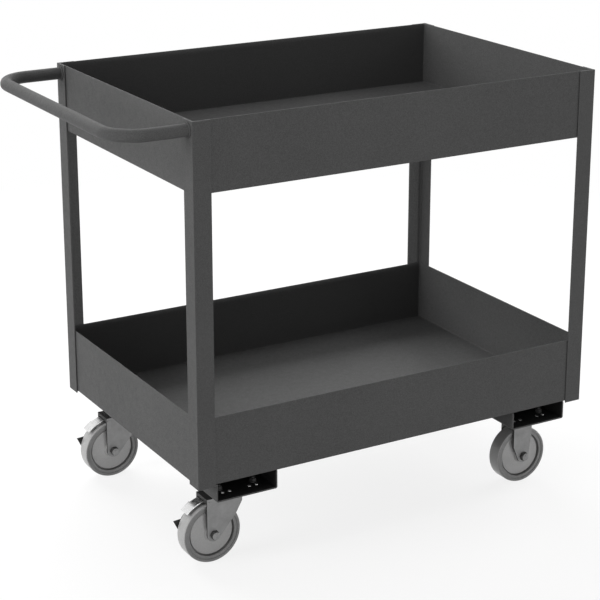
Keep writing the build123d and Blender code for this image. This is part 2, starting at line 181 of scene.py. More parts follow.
def pressed_steel(name, level):
    """Grey pressed steel of the caster forks: dull, with faint rolling lines."""
    steel = Finish(name, roughness=0.5, metallic=0.25, specular=0.4)
    lines = steel.noise(scale=60.0, detail=3.0, roughness=0.6, along=steel.stretched((1.0, 1.0, 14.0)))
    bloom = steel.noise(scale=38.0, detail=4.0, roughness=0.6)
    mixed = steel.sum(steel.between(bloom, NOISE_SPAN, (0.0, 0.7)), lines, share=0.3)
    shade = steel.ramp(mixed, (0.15, grey(level * 0.82)), (0.85, grey(level * 1.15)))
    # The fork's edges are painted paler: partly wear, partly painted highlight.
    worn_and_highlit_edges = steel.between(steel.edges(radius=0.0015), (0.0, 1.0), (0.0, 0.4))
    steel.colour(steel.over(worn_and_highlit_edges, shade, grey(level * 1.7)))
    steel.gloss(steel.between(bloom, NOISE_SPAN, (0.42, 0.58)))
    steel.relief(lines, strength=0.15, distance=0.0002)
    return steel.material


def plated(name, level, roughness, warm=0.01):
    """Zinc or bright plating: metal with small blotches and fine scuffs."""
    plate = Finish(name, roughness=roughness, metallic=1.0)
    blotch = plate.noise(scale=130.0, detail=4.0, roughness=0.6)
    plate.colour(plate.ramp(blotch, (0.3, grey(level * 0.82, warm)), (0.7, grey(level, warm))))
    scuffs = plate.noise(scale=90.0, detail=4.0, roughness=0.7, along=plate.stretched((1.0, 9.0, 1.0)))
    plate.gloss(plate.between(scuffs, NOISE_SPAN, (roughness * 0.75, roughness * 1.35)))
    plate.relief(scuffs, strength=0.08, distance=0.0001)
    return plate.material


def moulded(name, level, gloss, grain=700.0, shine=0.4, warm=0.004):
    """Plastic, rubber or a dipped coat, with a fine matt grain and slight changes of shade and gloss."""
    mould = Finish(name, roughness=sum(gloss) / 2, specular=shine)
    fine = mould.noise(scale=grain, detail=2.0, roughness=0.6)
    cloud = mould.noise(scale=28.0, detail=4.0, roughness=0.55)
    mixed = mould.sum(mould.between(fine, NOISE_SPAN, (0.0, 0.45)), cloud, share=0.55)
    mould.colour(mould.ramp(mixed, (0.2, grey(level * 0.86, warm)), (0.8, grey(level * 1.12, warm))))
    mould.gloss(mould.between(cloud, NOISE_SPAN, gloss))
    mould.relief(fine, strength=0.12, distance=0.0003)
    return mould.material


frame_paint = powder_coat("frame_powder_coat", level=0.088)
# Near-black inside the channels: painted shade, where the tray and the channel's sides shade the web and
# flanges.
channel_painted_shade = powder_coat("channel_inside_painted_shade", level=0.02)
fork_grey = pressed_steel("fork_grey_steel", level=0.27)
zinc = plated("zinc_hardware", level=0.5, roughness=0.38)
bright = plated("bright_plated_steel", level=0.86, roughness=0.27, warm=0.0)
tread_grey = moulded("tread_grey_rubber", level=0.225, gloss=(0.3, 0.42), grain=520.0, shine=0.5)
# The tread's running band is the same rubber painted paler: a painted highlight.
band_painted_highlight = moulded("tread_running_band_painted_highlight", level=0.4, gloss=(0.26, 0.36), grain=520.0, shine=0.6)
core_grey = moulded("core_grey_moulding", level=0.43, gloss=(0.36, 0.48), shine=0.5)
nylon = moulded("bush_natural_nylon", level=0.62, gloss=(0.4, 0.5))
# Near-black for the pedal's toe, and for its hinge eye under the crown as painted shade.
toe_black_eye_shade = moulded("brake_toe_black_and_eye_painted_shade", level=0.02, gloss=(0.45, 0.6))
# Near-black for the forks' crown tops and sheared edges: painted shade, under the channel and beside the
# wheel.
fork_painted_shade = moulded("fork_crown_and_edges_painted_shade", level=0.03, gloss=(0.55, 0.7))
# Near-black steel for the brake springs, the lock nuts' hexagons and the caster fasteners; under the crown
# and inside the channels this darkness is painted shade.
dark_steel_and_shade = moulded("dark_steel_and_painted_shade", level=0.035, gloss=(0.35, 0.5))


# Making and placing pieces

SAME_POINT = 1e-6
ON_AXLE = 1e-7
ON_CUT = 2e-5
FLAT_JOIN = math.radians(0.6)
SHARP_FOLD = math.radians(40.0)
FLAT_FACE_WEIGHT = 80


def put(name, data):
    thing = bpy.data.objects.new(name, data)
    scene.collection.objects.link(thing)
    return thing


def show(mesh, name, body, slot, *stands_for):
    """Puts a finished mesh in the scene, riding on its body."""
    piece = put(name, mesh)
    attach(piece, body)
    if stands_for:
        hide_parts(*stands_for)


def paint_node(node, material):
    """Gives a solid that is shown as it is its finish."""
    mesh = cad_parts[node].data
    mesh.materials.clear()
    mesh.materials.append(material)


def smooth(mesh, degrees=32.0):
    """Shades a mesh smooth, save at folds sharper than the angle."""
    mesh.shade_smooth()
    mesh.set_sharp_from_angle(angle=math.radians(degrees))


def plain_mesh(carrier, modifier, name):
    """A mesh with the carrier's one modifier worked in. The modifier and the carrier are then removed."""
    bpy.context.view_layer.update()
    graph = bpy.context.evaluated_depsgraph_get()
    mesh = bpy.data.meshes.new_from_object(carrier.evaluated_get(graph), depsgraph=graph)
    carrier.modifiers.remove(modifier)
    bpy.data.objects.remove(carrier)
    mesh.name = name
    return mesh


def flat_shaded(mesh, name):
    """Gives each flat face its own even shade, so that only the eased edges look round."""
    carrier = put(name + "_carrier", mesh)
    modifier = carrier.modifiers.new("even_faces", "WEIGHTED_NORMAL")
    modifier.keep_sharp = True
    modifier.weight = FLAT_FACE_WEIGHT
    return plain_mesh(carrier, modifier, name)


def softened(node, name, body, slot, material, ease, other=None, where=None, cut=None):
    """A solid's own shape with its sharp edges eased, shaded smooth on its curved faces.

    Faces that pass the where test take the other finish, and cut is the plane that parts the two.
    """
    build = bmesh.new()
    build.from_mesh(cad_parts[node].data)
    bmesh.ops.remove_doubles(build, verts=build.verts, dist=SAME_POINT)
    bmesh.ops.dissolve_limit(build, angle_limit=FLAT_JOIN, verts=build.verts, edges=build.edges)
    sharp = [e for e in build.edges if e.is_manifold and e.calc_face_angle(0.0) > SHARP_FOLD]
    bmesh.ops.bevel(
        build, geom=sharp, offset=ease, offset_type="OFFSET", segments=2, profile=0.5,
        affect="EDGES", clamp_overlap=True,
    )
    mesh = bpy.data.meshes.new(name)
    mesh.materials.append(material)
    if cut:
        point, normal = cut
        everything = build.verts[:] + build.edges[:] + build.faces[:]
        bmesh.ops.bisect_plane(build, geom=everything, dist=ON_CUT, plane_co=point, plane_no=normal)
        bmesh.ops.dissolve_degenerate(build, dist=SAME_POINT, edges=build.edges)
    if other:
        mesh.materials.append(other)
        for face in build.faces:
            face.material_index = 1 if where(face) else 0
    build.to_mesh(mesh)
    build.free()
    smooth(mesh, degrees=50.0)
    show(flat_shaded(mesh, name), name, body, slot, node)


def rounded(points, steps=5):
    """A closed outline of (axial, radius, corner radius) with its corners turned into arcs."""
    outline = []
    for i, (u, r, round_off) in enumerate(points):
        here = Vector((u, r))
        back = (Vector(points[i - 1][:2]) - here).normalized()
        on = (Vector(points[(i + 1) % len(points)][:2]) - here).normalized()
        half = back.angle(on) / 2
        reach = round_off / math.tan(half)
        centre = here + (back + on).normalized() * (round_off / math.sin(half))
        start, end = here + back * reach - centre, here + on * reach - centre
        swing = start.angle_signed(end)
        for k in range(steps + 1):
            outline.append(centre + Matrix.Rotation(-swing * k / steps, 2) @ start)
    return outline


def mirrored(half):
    """Half an outline, from the axle outwards, closed by its other half."""
    return half + [(-u, r, round_off) for u, r, round_off in reversed(half)]


def turned(outline, centre, name, finishes, steps=144, upright=False):
    """A closed outline of (axial, radius) points turned about an axle along Y, or upright.

    The outline may be a function of the angle, as on a hexagon. finishes is one material, or a list with
    one for each edge of the outline.
    """
    build = bmesh.new()
    rings = []
    for k in range(steps):
        a = 2 * math.pi * k / steps
        ring = []
        for u, r in outline(a) if callable(outline) else outline:
            out, aside = r * math.cos(a), r * math.sin(a)
            spoke = (out, aside, u) if upright else (out, u, aside)
            ring.append(build.verts.new(centre + Vector(spoke)))
        rings.append(ring)
    mesh = bpy.data.meshes.new(name)
    kinds = finishes if isinstance(finishes, list) else [finishes] * len(rings[0])
    for finish in kinds:
        if finish.name not in mesh.materials:
            mesh.materials.append(finish)
    for k in range(steps):
        one, two = rings[k], rings[(k + 1) % steps]
        for i, finish in enumerate(kinds):
            j = (i + 1) % len(one)
            face = build.faces.new((one[i], one[j], two[j], two[i]))
            face.material_index = mesh.materials.find(finish.name)
    bmesh.ops.recalc_face_normals(build, faces=build.faces)
    build.to_mesh(mesh)
    build.free()
    smooth(mesh)
    return mesh


def closed_on_axle(mesh):
    """Joins the points of a turned mesh that fall together on its axle."""
    build = bmesh.new()
    build.from_mesh(mesh)
    bmesh.ops.remove_doubles(build, verts=build.verts, dist=ON_AXLE)
    build.to_mesh(mesh)
    build.free()


def lines_mesh(name, runs, closed):
    """A mesh of bare edges, one run of points after the other, each closed to a loop where asked."""
    points, edges = [], []
    for run in runs:
        start = len(points)
        points.extend(run)
        edges.extend((start + k, start + k + 1) for k in range(len(run) - 1))
        if closed:
            edges.append((start + len(run) - 1, start))
    mesh = bpy.data.meshes.new(name)
    mesh.from_pydata(points, edges, [])
    return mesh


def points_mesh(name, points):
    """A mesh of bare points."""
    mesh = bpy.data.meshes.new(name)
    mesh.from_pydata(points, [], [])
    return mesh


# Geometry node trees

NUMBER = "NodeSocketFloat"
COUNT = "NodeSocketInt"
PAINT = "NodeSocketMaterial"

# The chamfer's circle is a share of the flats, and a ripple's sizes are shares of the bead's radius.
CHAMFER_CIRCLE = 0.475
CHAMFER_SLOPE = math.sqrt(3.0)
CONE_SIDES = 48
SHANK_SIDES = 32
WASHER_SIDES = 36
BALL_DETAIL = 4
BEAD_SIDES = 12
STEPS_PER_RIPPLE = 5.0
RIPPLE_RISE = 0.2
RIPPLE_LEAST = 0.76
RIPPLE_MOST = 0.92


class Tree:
    """A geometry node tree with named inputs, baked to a plain mesh."""

    def __init__(self, name, **inputs):
        self.group = bpy.data.node_groups.new(name, "GeometryNodeTree")
        self.nodes = self.group.nodes
        face = self.group.interface
        face.new_socket("Geometry", in_out="OUTPUT", socket_type="NodeSocketGeometry")
        face.new_socket("Geometry", in_out="INPUT", socket_type="NodeSocketGeometry")
        self.keys = {}
        for label, kind in inputs.items():
            socket = face.new_socket(label, in_out="INPUT", socket_type=kind)
            self.keys[label] = socket.identifier
        self.inlet = self.nodes.new("NodeGroupInput").outputs
        self.outlet = self.nodes.new("NodeGroupOutput").inputs

    def feed(self, socket, value):
        """Links a socket to another one, or sets it to a plain value."""
        if isinstance(value, bpy.types.NodeSocket):
            self.group.links.new(value, socket)
        else:
            socket.default_value = value

    def add(self, kind, settings=None, **wired):
        node = self.nodes.new(kind)
        for key, value in (settings or {}).items():
            setattr(node, key, value)
        for key, value in wired.items():
            self.feed(node.inputs[key.replace("_", " ")], value)
        return node

    def maths(self, operation, *values):
        node = self.add("ShaderNodeMath", {"operation": operation})
        for socket, value in zip(node.inputs, values):
            self.feed(socket, value)
        return node.outputs["Value"]

    def moved(self, geometry, height=0.0, turn=0.0):
        shift = self.add("ShaderNodeCombineXYZ", Z=height).outputs["Vector"]
        node = self.add(
            "GeometryNodeTransform", Geometry=geometry, Translation=shift, Rotation=(turn, 0.0, 0.0),
        )
        return node.outputs["Geometry"]

    def combined(self, operation, first, *others):
        """One closed mesh out of several: what they share, all of them, or the first less the others."""
        node = self.add("GeometryNodeMeshBoolean", {"operation": operation, "solver": "EXACT"})
        if operation == "DIFFERENCE":
            self.group.links.new(first, node.inputs["Mesh 1"])
        else:
            others = (first, *others)
        for other in others:
            self.group.links.new(other, node.inputs["Mesh 2"])
        whole = self.add("GeometryNodeMergeByDistance", Geometry=node.outputs["Mesh"], Distance=ON_CUT)
        return whole.outputs["Geometry"]

    def end(self, geometry, material):
        solid = self.add("GeometryNodeRealizeInstances", Geometry=geometry).outputs["Geometry"]
        painted = self.add("GeometryNodeSetMaterial", Geometry=solid, Material=material)
        self.group.links.new(painted.outputs["Geometry"], self.outlet[0])

    def end_on_points(self, geometry):
        """Sets the geometry on each point of the tree's own input."""
        laid = self.add("GeometryNodeInstanceOnPoints", Points=self.inlet["Geometry"], Instance=geometry)
        self.end(laid.outputs["Instances"], self.inlet["Finish"])

    def bake(self, data, name, **values):
        carrier = put(name + "_carrier", data)
        modifier = carrier.modifiers.new(name, "NODES")
        modifier.node_group = self.group
        for label, value in values.items():
            modifier[self.keys[label]] = value
        return plain_mesh(carrier, modifier, name)


def tube_tree():
    """A round tube along a route, with each corner of the route bent to one radius."""
    tree = Tree(
        "tube_along_route", TubeRadius=NUMBER, BendRadius=NUMBER, BendSteps=COUNT, Sides=COUNT, Paint=PAINT,
    )
    bent = tree.add(
        "GeometryNodeFilletCurve", {"mode": "POLY"}, Curve=tree.inlet["Geometry"],
        Radius=tree.inlet["BendRadius"], Count=tree.inlet["BendSteps"], Limit_Radius=True,
    )
    ring = tree.add(
        "GeometryNodeCurvePrimitiveCircle", Radius=tree.inlet["TubeRadius"], Resolution=tree.inlet["Sides"],
    )
    skin = tree.add(
        "GeometryNodeCurveToMesh", Curve=bent.outputs["Curve"], Profile_Curve=ring.outputs["Curve"],
        Fill_Caps=True,
    )
    tree.end(skin.outputs["Mesh"], tree.inlet["Paint"])
    return tree


def bead_tree():
    """A weld bead along each line: one rippled rope, a little uneven from ripple to ripple."""
    tree = Tree("weld_bead", Pitch=NUMBER, BeadRadius=NUMBER, EndShare=NUMBER, Seed=COUNT, Paint=PAINT)
    pitch, radius = tree.inlet["Pitch"], tree.inlet["BeadRadius"]
    line = tree.add("GeometryNodeMeshToCurve", Mesh=tree.inlet["Geometry"]).outputs["Curve"]
    step = tree.maths("DIVIDE", pitch, STEPS_PER_RIPPLE)
    fine = tree.add("GeometryNodeResampleCurve", {"mode": "LENGTH"}, Curve=line, Length=step)
    passed = tree.add("GeometryNodeSplineParameter").outputs["Length"]
    length = tree.add("GeometryNodeSplineLength").outputs["Length"]
    ripple = tree.maths("DIVIDE", passed, pitch)
    hump = tree.maths("ABSOLUTE", tree.maths("SINE", tree.maths("MULTIPLY", ripple, math.pi)))
    number = tree.maths("FLOOR", ripple)
    uneven = tree.add("FunctionNodeRandomValue", {"data_type": "FLOAT"}, ID=number, Seed=tree.inlet["Seed"])
    least, most = (s for s in uneven.inputs if s.type == "VALUE" and s.name in ("Min", "Max"))
    least.default_value = RIPPLE_LEAST
    most.default_value = RIPPLE_MOST
    drawn = next(s for s in uneven.outputs if s.type == "VALUE")
    thick = tree.maths("MULTIPLY_ADD", hump, RIPPLE_RISE, drawn)
    to_end = tree.maths("MINIMUM", passed, tree.maths("SUBTRACT", length, passed))
    risen = tree.maths("ADD", tree.inlet["EndShare"], tree.maths("DIVIDE", to_end, radius))
    narrowed = tree.maths("MINIMUM", 1.0, risen)
    section = tree.add("GeometryNodeCurvePrimitiveCircle", Radius=radius, Resolution=BEAD_SIDES)
    rope = tree.add(
        "GeometryNodeCurveToMesh", Curve=fine.outputs["Curve"], Profile_Curve=section.outputs["Curve"],
        Scale=tree.maths("MULTIPLY", thick, narrowed), Fill_Caps=True,
    )
    tree.end(rope.outputs["Mesh"], tree.inlet["Paint"])
    return tree


def chamfered_hexagon(tree):
    """A hexagon about the tree's own point, with both its rims turned off at thirty degrees.

    Two cones do it, each with its foot a whole height from the middle, clear of the hexagon.
    """
    flats, height = tree.inlet["Flats"], tree.inlet["Height"]
    corner = tree.maths("DIVIDE", flats, math.sqrt(3.0))
    prism = tree.add("GeometryNodeMeshCylinder", Vertices=6, Radius=corner, Depth=height).outputs["Mesh"]
    circle = tree.maths("MULTIPLY", flats, CHAMFER_CIRCLE)
    depth = tree.maths("MULTIPLY_ADD", height, 1.5, tree.maths("DIVIDE", circle, CHAMFER_SLOPE))
    foot = tree.maths("MULTIPLY", depth, CHAMFER_SLOPE)
    cone = tree.add(
        "GeometryNodeMeshCone", Vertices=CONE_SIDES, Radius_Top=0.0, Depth=depth, Radius_Bottom=foot,
    )
    upper = tree.moved(cone.outputs["Mesh"], tree.maths("MULTIPLY", height, -1.0))
    return tree.combined("INTERSECT", prism, upper, tree.moved(upper, turn=math.pi))


def bolt_tree():
    """A hexagon bolt on each point, its shank upwards."""
    tree = Tree(
        "bolts_on_points", Flats=NUMBER, Height=NUMBER, ShankRadius=NUMBER, ShankLength=NUMBER, Finish=PAINT,
    )
    length = tree.inlet["ShankLength"]
    shank = tree.add(
        "GeometryNodeMeshCylinder", Vertices=SHANK_SIDES, Radius=tree.inlet["ShankRadius"], Depth=length,
    )
    raised = tree.moved(shank.outputs["Mesh"], tree.maths("MULTIPLY", length, 0.5))
    tree.end_on_points(tree.combined("UNION", chamfered_hexagon(tree), raised))
    return tree


def nut_tree():
    """A bored hexagon nut on each point."""
    tree = Tree("nuts_on_points", Flats=NUMBER, Height=NUMBER, BoreRadius=NUMBER, Finish=PAINT)
    through = tree.maths("MULTIPLY", tree.inlet["Height"], 2.0)
    bore = tree.add(
        "GeometryNodeMeshCylinder", Vertices=SHANK_SIDES, Radius=tree.inlet["BoreRadius"], Depth=through,
    )
    tree.end_on_points(tree.combined("DIFFERENCE", chamfered_hexagon(tree), bore.outputs["Mesh"]))
    return tree


def washer_tree():
    """A flat washer on each point: a small rectangle carried round a circle."""
    tree = Tree("washers_on_points", MiddleRadius=NUMBER, Width=NUMBER, Thickness=NUMBER, Finish=PAINT)
    circle = tree.add(
        "GeometryNodeCurvePrimitiveCircle", Radius=tree.inlet["MiddleRadius"], Resolution=WASHER_SIDES,
    )
    section = tree.add(
        "GeometryNodeCurvePrimitiveQuadrilateral", Width=tree.inlet["Width"], Height=tree.inlet["Thickness"],
    )
    ring = tree.add(
        "GeometryNodeCurveToMesh", Curve=circle.outputs["Curve"], Profile_Curve=section.outputs["Curve"],
    )
    tree.end_on_points(ring.outputs["Mesh"])
    return tree


def ball_tree():
    """A ring of balls, set evenly round each point."""
    tree = Tree("ring_of_balls", RingRadius=NUMBER, BallRadius=NUMBER, Count=COUNT, Finish=PAINT)
    circle = tree.add("GeometryNodeMeshCircle", Vertices=tree.inlet["Count"], Radius=tree.inlet["RingRadius"])
    ball = tree.add("GeometryNodeMeshIcoSphere", Radius=tree.inlet["BallRadius"], Subdivisions=BALL_DETAIL)
    ring = tree.add(
        "GeometryNodeInstanceOnPoints", Points=circle.outputs["Mesh"], Instance=ball.outputs["Mesh"],
    )
    tree.end_on_points(ring.outputs["Instances"])
    return tree


# Frame: trays, posts and channels keep their solids' shapes, with eased edges

SHEET_EASE = 0.0005
FACES_UP = 0.9
FLANGE_OFF_MIDDLE = 0.01


def inside_of_channel(node):
    """A test for the faces inside a channel: the top of its web and the inner sides of its flanges, which
    take painted shade.
    """
    low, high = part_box(node)
    middle = (low + high) / 2

    def test(face):
        spot = face.calc_center_median()
        on_web = face.normal.z > FACES_UP and spot.z < middle.z
        return on_web or face.normal.x * (spot.x - middle.x) < -FLANGE_OFF_MIDDLE

    return test


for tray in TRAYS:
    softened(tray, tray + "_sheet", "frame", "frame_paint", frame_paint, SHEET_EASE)
for end in ENDS:
    channel = f"caster_channel_{end}"
    softened(
        channel, channel + "_folded", "frame", "frame_paint", frame_paint, SHEET_EASE,
        other=channel_painted_shade, where=inside_of_channel(channel),
    )
    for side in SIDES:
        post = f"corner_post_{end}_{side}"
        softened(post, post + "_angle", "frame", "frame_paint", frame_paint, SHEET_EASE)


# Push handle: one tube bent round two corners, welded to the posts

HANDLE_BEND = 0.064
HANDLE_BEND_STEPS = 28
TUBE_SIDES = 48

handle_low, handle_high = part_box("push_handle")
tube_radius = (handle_high.z - handle_low.z) / 2
handle_z = (handle_high.z + handle_low.z) / 2
handle_y = handle_high.y - tube_radius
bar_x = handle_low.x + tube_radius

route = bpy.data.curves.new("handle_route", "CURVE")
route.dimensions = "3D"
spline = route.splines.new("POLY")
corners = ((handle_high.x, -handle_y), (bar_x, -handle_y), (bar_x, handle_y), (handle_high.x, handle_y))
spline.points.add(len(corners) - 1)
for point, (x, y) in zip(spline.points, corners):
    point.co = (x, y, handle_z, 1.0)
handle_mesh = tube_tree().bake(
    route, "push_handle_tube", TubeRadius=tube_radius, BendRadius=HANDLE_BEND, BendSteps=HANDLE_BEND_STEPS,
    Sides=TUBE_SIDES, Paint=frame_paint,
)
smooth(handle_mesh)
show(handle_mesh, "push_handle_tube", "frame", "frame_paint", "push_handle")


# Weld beads: round the handle's ends, under the trays at the posts, and along the channels

RING_OFF_POST = 0.0008
RING_OFF_TUBE = 0.0006
RING_STEPS = 40
CORNER_WELD_START = 0.006
CORNER_WELD_STOP = 0.008
CORNER_WELD_IN = 0.0016
CORNER_WELD_UP = 0.0004
STITCHES = 4
STITCH_HALF = 0.02
STITCH_OUT = 0.0005
STITCH_DOWN = 0.0008
# A share of the channel's length, from its end to the middle of its first stitch
STITCH_MARGIN = 0.06
THIN_BEAD = 0.0022
THICK_BEAD = 0.0028
BEAD_SEED = 7
# Shares of the bead's radius: from ripple to ripple, and the width of a bead's open end
RIPPLE_PITCH = 0.62
OPEN_END = 0.35


def handle_weld_runs():
    """A ring round each end of the handle's tube."""
    reach = tube_radius + RING_OFF_TUBE
    runs = []
    for side in (1, -1):
        ring = []
        for k in range(RING_STEPS):
            a = 2 * math.pi * k / RING_STEPS
            y, z = side * handle_y + reach * math.cos(a), handle_z + reach * math.sin(a)
            ring.append((handle_high.x - RING_OFF_POST, y, z))
        runs.append(ring)
    return runs


def corner_weld_runs():
    """Two short lines along the legs of the post at each corner of a tray."""
    post_low, post_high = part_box("corner_post_nose_left")
    stop = post_high.x - post_low.x - CORNER_WELD_STOP
    runs = []
    for tray in TRAYS:
        low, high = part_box(tray)
        z = low.z + CORNER_WELD_UP
        for x, along in ((low.x, 1), (high.x, -1)):
            for y, across in ((low.y, 1), (high.y, -1)):
                near_x, near_y = x + along * CORNER_WELD_IN, y + across * CORNER_WELD_IN
                runs.append([(x + along * far, near_y, z) for far in (CORNER_WELD_START, stop)])
                runs.append([(near_x, y + across * far, z) for far in (CORNER_WELD_START, stop)])
    return runs


def stitch_weld_runs():
    """Short lines along the top of each channel, on both of its sides."""
    runs = []
    for end in ENDS:
        low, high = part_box(f"caster_channel_{end}")
        z = high.z - STITCH_DOWN
        for x in (low.x - STITCH_OUT, high.x + STITCH_OUT):
            for k in range(STITCHES):
                share = STITCH_MARGIN + (1 - 2 * STITCH_MARGIN) * k / (STITCHES - 1)
                y = low.y + (high.y - low.y) * share
                runs.append([(x, y - STITCH_HALF, z), (x, y + STITCH_HALF, z)])
    return runs


beads = bead_tree()
for name, runs, radius, is_loop in (
    ("handle_weld_rings", handle_weld_runs(), THIN_BEAD, True),
    ("tray_corner_welds", corner_weld_runs(), THIN_BEAD, False),
    ("channel_stitch_welds", stitch_weld_runs(), THICK_BEAD, False),
):
    bead = beads.bake(
        lines_mesh(name + "_lines", runs, is_loop), name, Pitch=radius * RIPPLE_PITCH, BeadRadius=radius,
        EndShare=1.0 if is_loop else OPEN_END, Seed=BEAD_SEED, Paint=frame_paint,
    )
    smooth(bead, degrees=60.0)
    show(bead, name, "frame", "frame_paint")


# Wheels: a tread whose running band is painted paler as a highlight, on a core with a hub, a thin disc and a
# grooved rim

TREAD_DEPTH = 0.0062
TREAD_ROUND = 0.0025
TREAD_FOOT_ROUND = 0.0005
BAND_DEPTH = 0.0016
RIM_DEPTH = 0.0068
RIM_INSET = 0.0015
RIM_ROUND = 0.0004
GROOVE_DEPTH = 0.003
GROOVE_HALF = 0.006
GROOVE_ROUND = 0.0006
STEP_ROUND = 0.0008
DISC_HALF_AT_RIM = 0.0105
DISC_HALF_AT_HUB = 0.013
HUB_RADIUS = 0.017
HUB_PROUD = 0.003
HUB_ROUND = 0.001
HUB_FOOT_ROUND = 0.0015
BORE_RADIUS = 0.01105
BORE_ROUND = 0.0003


def by_radius(outline, level, outer, inner):
    """A finish for each edge of an outline: one for the edges past a radius and one for the rest."""
    ends = zip(outline, outline[1:] + outline[:1])
    return [outer if min(one.y, two.y) > level else inner for one, two in ends]


def wheel(end, side):
    """Tread and core of one wheel, both turned about its axle."""
    low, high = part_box(f"wheel_tread_{end}_{side}")
    centre = (low + high) / 2
    radius = (high.z - low.z) / 2
    half = (high.y - low.y) / 2
    rim = radius - TREAD_DEPTH
    groove_top = rim - RIM_DEPTH
    groove_low = groove_top - GROOVE_DEPTH
    rim_half = half - RIM_INSET
    hub_half = half + HUB_PROUD
    body = f"wheel_{end}_{side}"

    outline = rounded(mirrored([(half, rim, TREAD_FOOT_ROUND), (half, radius, TREAD_ROUND)]))
    finishes = by_radius(outline, radius - BAND_DEPTH, band_painted_highlight, tread_grey)
    mesh = turned(outline, centre, f"tread_{end}_{side}", finishes)
    show(mesh, f"tread_{end}_{side}", body, "wheel_tread", f"wheel_tread_{end}_{side}")

    outline = rounded(mirrored([
        (hub_half, BORE_RADIUS, BORE_ROUND),
        (hub_half, HUB_RADIUS, HUB_ROUND),
        (DISC_HALF_AT_HUB, HUB_RADIUS, HUB_FOOT_ROUND),
        (DISC_HALF_AT_RIM, groove_low, STEP_ROUND),
        (GROOVE_HALF, groove_low, GROOVE_ROUND),
        (GROOVE_HALF, groove_top, GROOVE_ROUND),
        (rim_half, groove_top, STEP_ROUND),
        (rim_half, rim, RIM_ROUND),
    ]))
    finishes = by_radius(outline, groove_low, tread_grey, core_grey)
    mesh = turned(outline, centre, f"core_{end}_{side}", finishes)
    show(mesh, f"core_{end}_{side}", body, "wheel_core", f"wheel_core_{end}_{side}")


for end, side in CASTERS:
    wheel(end, side)


# Axle bolts and lock nuts

HALF_FLATS = 0.0085
HEXAGON_STEPS = 72
CHAMFER_FALL = 0.55
THREAD_RADIUS = 0.005
NUT_CIRCLE = 0.0083
NUT_HEIGHT = 0.007
COLLAR_RADIUS = 0.0081
COLLAR_END_RADIUS = 0.0075
COLLAR_CHAMFER = 0.0006
HEAD_CIRCLE = 0.0081
HEAD_HEIGHT = 0.0064
TIP_RADIUS = 0.0042
TIP_CHAMFER = 0.0008


def body_name(end, side):
    """The body that carries a wheel's axle: a swivel at the handle's end, the frame at the nose."""
    return f"swivel_{side}" if end == "handle" else "frame"


def hexagon_edge(angle, circle):
    """How far a hexagon with a corner at 0 reaches at an angle, and how far its chamfer falls there."""
    reach = HALF_FLATS / math.cos(angle % (math.pi / 3) - math.pi / 6)
    return reach, max(reach - circle, 0.0) * CHAMFER_FALL


def lock_nut(end, side):
    """A lock nut with a round collar, on the right of the fork."""
    low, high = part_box(f"axle_nut_{end}_{side}")
    centre = (low + high) / 2
    inner = high.y - centre.y
    collar = inner - NUT_HEIGHT
    outer = low.y - centre.y

    def outline(angle):
        reach, drop = hexagon_edge(angle, NUT_CIRCLE)
        return [
            (inner, THREAD_RADIUS),
            (inner, NUT_CIRCLE),
            (inner - drop, reach),
            (collar + drop, reach),
            (collar, NUT_CIRCLE),
            (collar, COLLAR_RADIUS),
            (outer + COLLAR_CHAMFER, COLLAR_RADIUS),
            (outer, COLLAR_END_RADIUS),
            (outer, THREAD_RADIUS),
        ]

    finishes = [dark_steel_and_shade] * 6 + [fork_grey] * 3
    mesh = turned(outline, centre, f"lock_nut_{end}_{side}", finishes, HEXAGON_STEPS)
    show(mesh, f"lock_nut_{end}_{side}", body_name(end, side), "zinc_hardware", f"axle_nut_{end}_{side}")


def axle_bolt(end, side):
    """A bolt with a chamfered head on the left of the fork and its tip on the right."""
    node = f"axle_bolt_{end}_{side}"
    low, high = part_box(node)
    centre = (low + high) / 2
    top = high.y - centre.y
    seat = top - HEAD_HEIGHT
    tip = low.y - centre.y

    def outline(angle):
        reach, drop = hexagon_edge(angle, HEAD_CIRCLE)
        return [
            (top, 0.0),
            (top, HEAD_CIRCLE),
            (top - drop, reach),
            (seat, reach),
            (seat, THREAD_RADIUS),
            (tip + TIP_CHAMFER, THREAD_RADIUS),
            (tip, TIP_RADIUS),
            (tip, 0.0),
        ]

    mesh = turned(outline, centre, node + "_turned", [zinc] * 5 + [fork_grey] * 3, HEXAGON_STEPS)
    closed_on_axle(mesh)
    show(mesh, node + "_turned", body_name(end, side), "zinc_hardware", node)


for end, side in CASTERS:
    lock_nut(end, side)
    axle_bolt(end, side)


# Forks, brake pedals and swivel plates keep their solids' shapes, with eased edges

FORK_EASE = 0.0008
PEDAL_EASE = 0.0004
FACES_ALONG = 0.6
CROWN_BELOW_PLATE_TOP = 0.014
CROWN_SKIN = 0.0006
TOE_START = math.radians(141.0)
TOE_SIDE = 0.0165
HINGE_EYE_RADIUS = 0.0065


def is_sheared(face):
    """True for the sheared edges of a fork, which face along the cart and are painted near-black as painted
    shade.
    """
    return abs(face.normal.x) > FACES_ALONG


def crown_or_sheared(crown_top):
    """A test for the top of a fork's crown and its sheared edges, both painted near-black as painted shade.
    """

    def test(face):
        on_crown = face.normal.z > FACES_UP and face.calc_center_median().z > crown_top - CROWN_SKIN
        return on_crown or is_sheared(face)

    return test


def toe_or_eye(axle, pin):
    """A test for a pedal's toe, past its start round the axle, and for the hinge eye about its pin. Both are
    painted near-black; on the hinge eye under the crown this is painted shade.
    """

    def test(face):
        middle = face.calc_center_median()
        spot, reach = middle - axle, middle - pin
        on_toe = spot.y > TOE_SIDE and math.atan2(spot.z, spot.x) > TOE_START
        return on_toe or math.hypot(reach.x, reach.z) < HINGE_EYE_RADIUS

    return test


